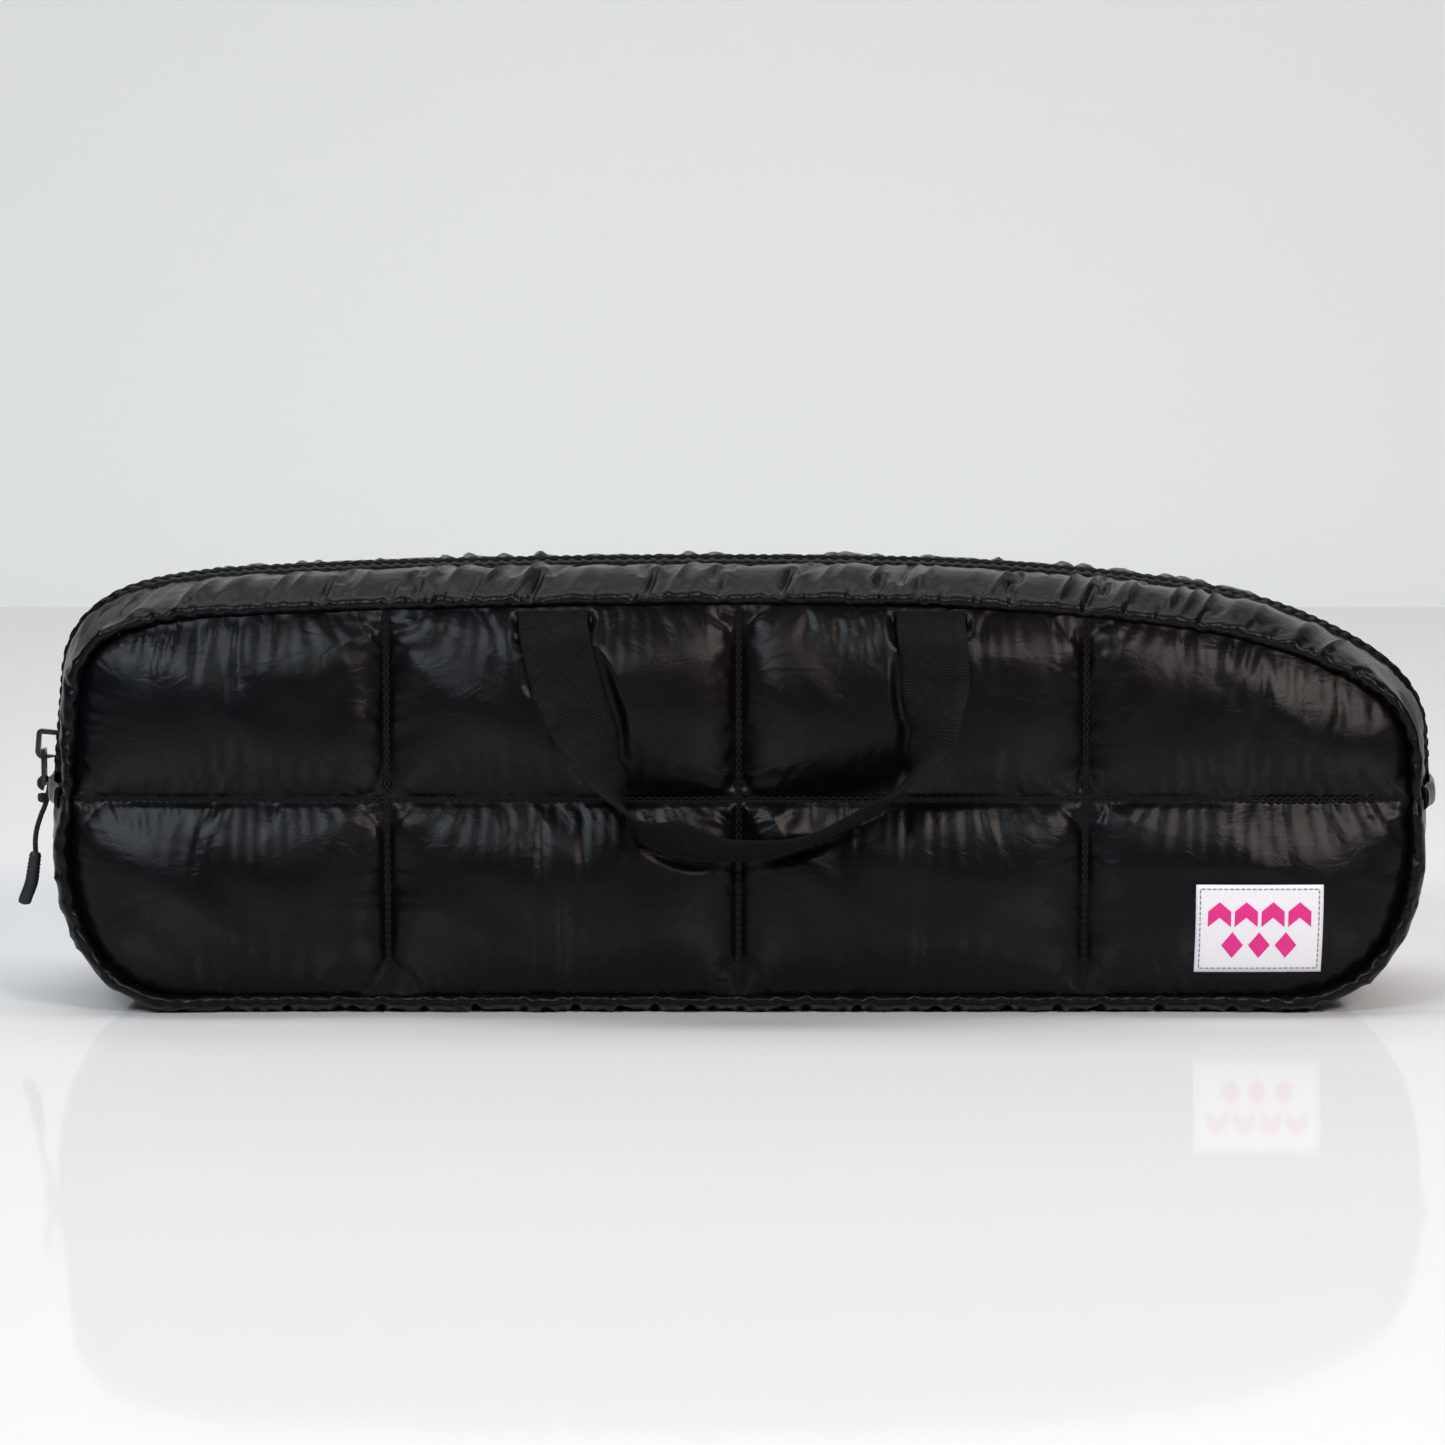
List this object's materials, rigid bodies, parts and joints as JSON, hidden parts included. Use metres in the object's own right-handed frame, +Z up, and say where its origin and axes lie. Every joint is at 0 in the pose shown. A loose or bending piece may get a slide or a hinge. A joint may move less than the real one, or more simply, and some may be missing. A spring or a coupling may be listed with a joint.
{
  "type": "quilted carry bag",
  "caption": "Quilted padded carry bag in black nylon with a zip over the top, webbing handles and a woven label.",
  "frame": {"origin": "middle of the base, on the floor", "axes": "+X along the bag towards the end with the label, -Y out of the front panel, +Z up"},
  "size_m": [0.5381, 0.1572, 0.1669],
  "materials": {
    "shell_cloth": "tightly woven nylon with a satin sheen",
    "lining_cloth": "plain matte polyester",
    "wadding": "soft synthetic fibre, hidden",
    "webbing": "matte ribbed webbing",
    "zip_tape": "matte woven tape",
    "zip_coil": "smooth moulded coil",
    "zip_metal": "black lacquered die casting",
    "cord": "braided cord",
    "grip": "satin moulded rubber",
    "label_cloth": "white woven ribbon with a coloured motif"
  },
  "bodies": {
    "bag": {"back_gusset_left": "shell_cloth", "back_gusset_lining_left": "lining_cloth", "back_gusset_lining_right": "lining_cloth", "back_gusset_right": "shell_cloth", "back_gusset_rim_mid": "shell_cloth", "back_handle_end_left": "webbing", "back_handle_end_right": "webbing", "back_panel_lining": "lining_cloth", "back_panel_shell": "shell_cloth", "back_panel_wadding": "wadding", "back_seam_binding": "webbing", "back_top_stop": "zip_metal", "back_zip_coil_left": "zip_coil", "back_zip_coil_right": "zip_coil", "back_zip_tape_left": "zip_tape", "back_zip_tape_right": "zip_tape", "base_gusset_left": "shell_cloth", "base_gusset_lining": "lining_cloth", "base_gusset_mid": "shell_cloth", "base_gusset_right": "shell_cloth", "base_gusset_wadding": "wadding", "bottom_stop": "zip_metal", "end_tab_left": "shell_cloth", "end_tab_right": "shell_cloth", "front_gusset_left": "shell_cloth", "front_gusset_lining_left": "lining_cloth", "front_gusset_lining_right": "lining_cloth", "front_gusset_right": "shell_cloth", "front_gusset_rim_mid": "shell_cloth", "front_handle_end_left": "webbing", "front_handle_end_right": "webbing", "front_panel_lining": "lining_cloth", "front_panel_shell": "shell_cloth", "front_panel_wadding": "wadding", "front_seam_binding": "webbing", "front_top_stop": "zip_metal", "front_zip_coil_left": "zip_coil", "front_zip_coil_right": "zip_coil", "front_zip_tape_left": "zip_tape", "front_zip_tape_right": "zip_tape", "label": "label_cloth"},
    "front_flap": {"front_gusset_mid": "shell_cloth", "front_gusset_lining_mid": "lining_cloth", "front_zip_tape_mid": "zip_tape", "front_zip_coil_mid": "zip_coil"},
    "back_flap": {"back_gusset_mid": "shell_cloth", "back_gusset_lining_mid": "lining_cloth", "back_zip_tape_mid": "zip_tape", "back_zip_coil_mid": "zip_coil"},
    "slider": {"slider_body": "zip_metal"},
    "puller": {"puller_tab": "zip_metal"},
    "pull": {"pull_cord": "cord", "cord_knot": "cord", "cord_grip": "grip"},
    "front_handle": {"front_handle": "webbing"},
    "back_handle": {"back_handle": "webbing"}
  },
  "joints": [
    {"name": "front_flap_fold", "type": "hinge", "parent": "bag", "child": "front_flap", "pos_m": [-0.027, -0.0443, 0.1589], "axis": [-1, 0, 0], "range_deg": [-80, 0]},
    {"name": "back_flap_fold", "type": "hinge", "parent": "bag", "child": "back_flap", "pos_m": [-0.027, 0.0443, 0.1589], "axis": [1, 0, 0], "range_deg": [-80, 0]},
    {"name": "slider_run", "type": "slide", "parent": "bag", "child": "slider", "axis": [0.0926, 0, 0.9957], "range_m": [0, 0.016]},
    {"name": "puller_swing", "type": "hinge", "parent": "slider", "child": "puller", "pos_m": [-0.26465, 0, 0.0931], "axis": [0, 1, 0], "range_deg": [0, 120]},
    {"name": "pull_swing", "type": "hinge", "parent": "puller", "child": "pull", "pos_m": [-0.26465, 0, 0.0806], "axis": [0, 1, 0], "range_deg": [-8, 50]},
    {"name": "front_handle_fold", "type": "hinge", "parent": "bag", "child": "front_handle", "pos_m": [0.0013, -0.057, 0.146], "axis": [-1, 0, 0], "range_deg": [0, 180]},
    {"name": "back_handle_fold", "type": "hinge", "parent": "bag", "child": "back_handle", "pos_m": [0.0013, 0.057, 0.146], "axis": [1, 0, 0], "range_deg": [0, 180]}
  ]
}
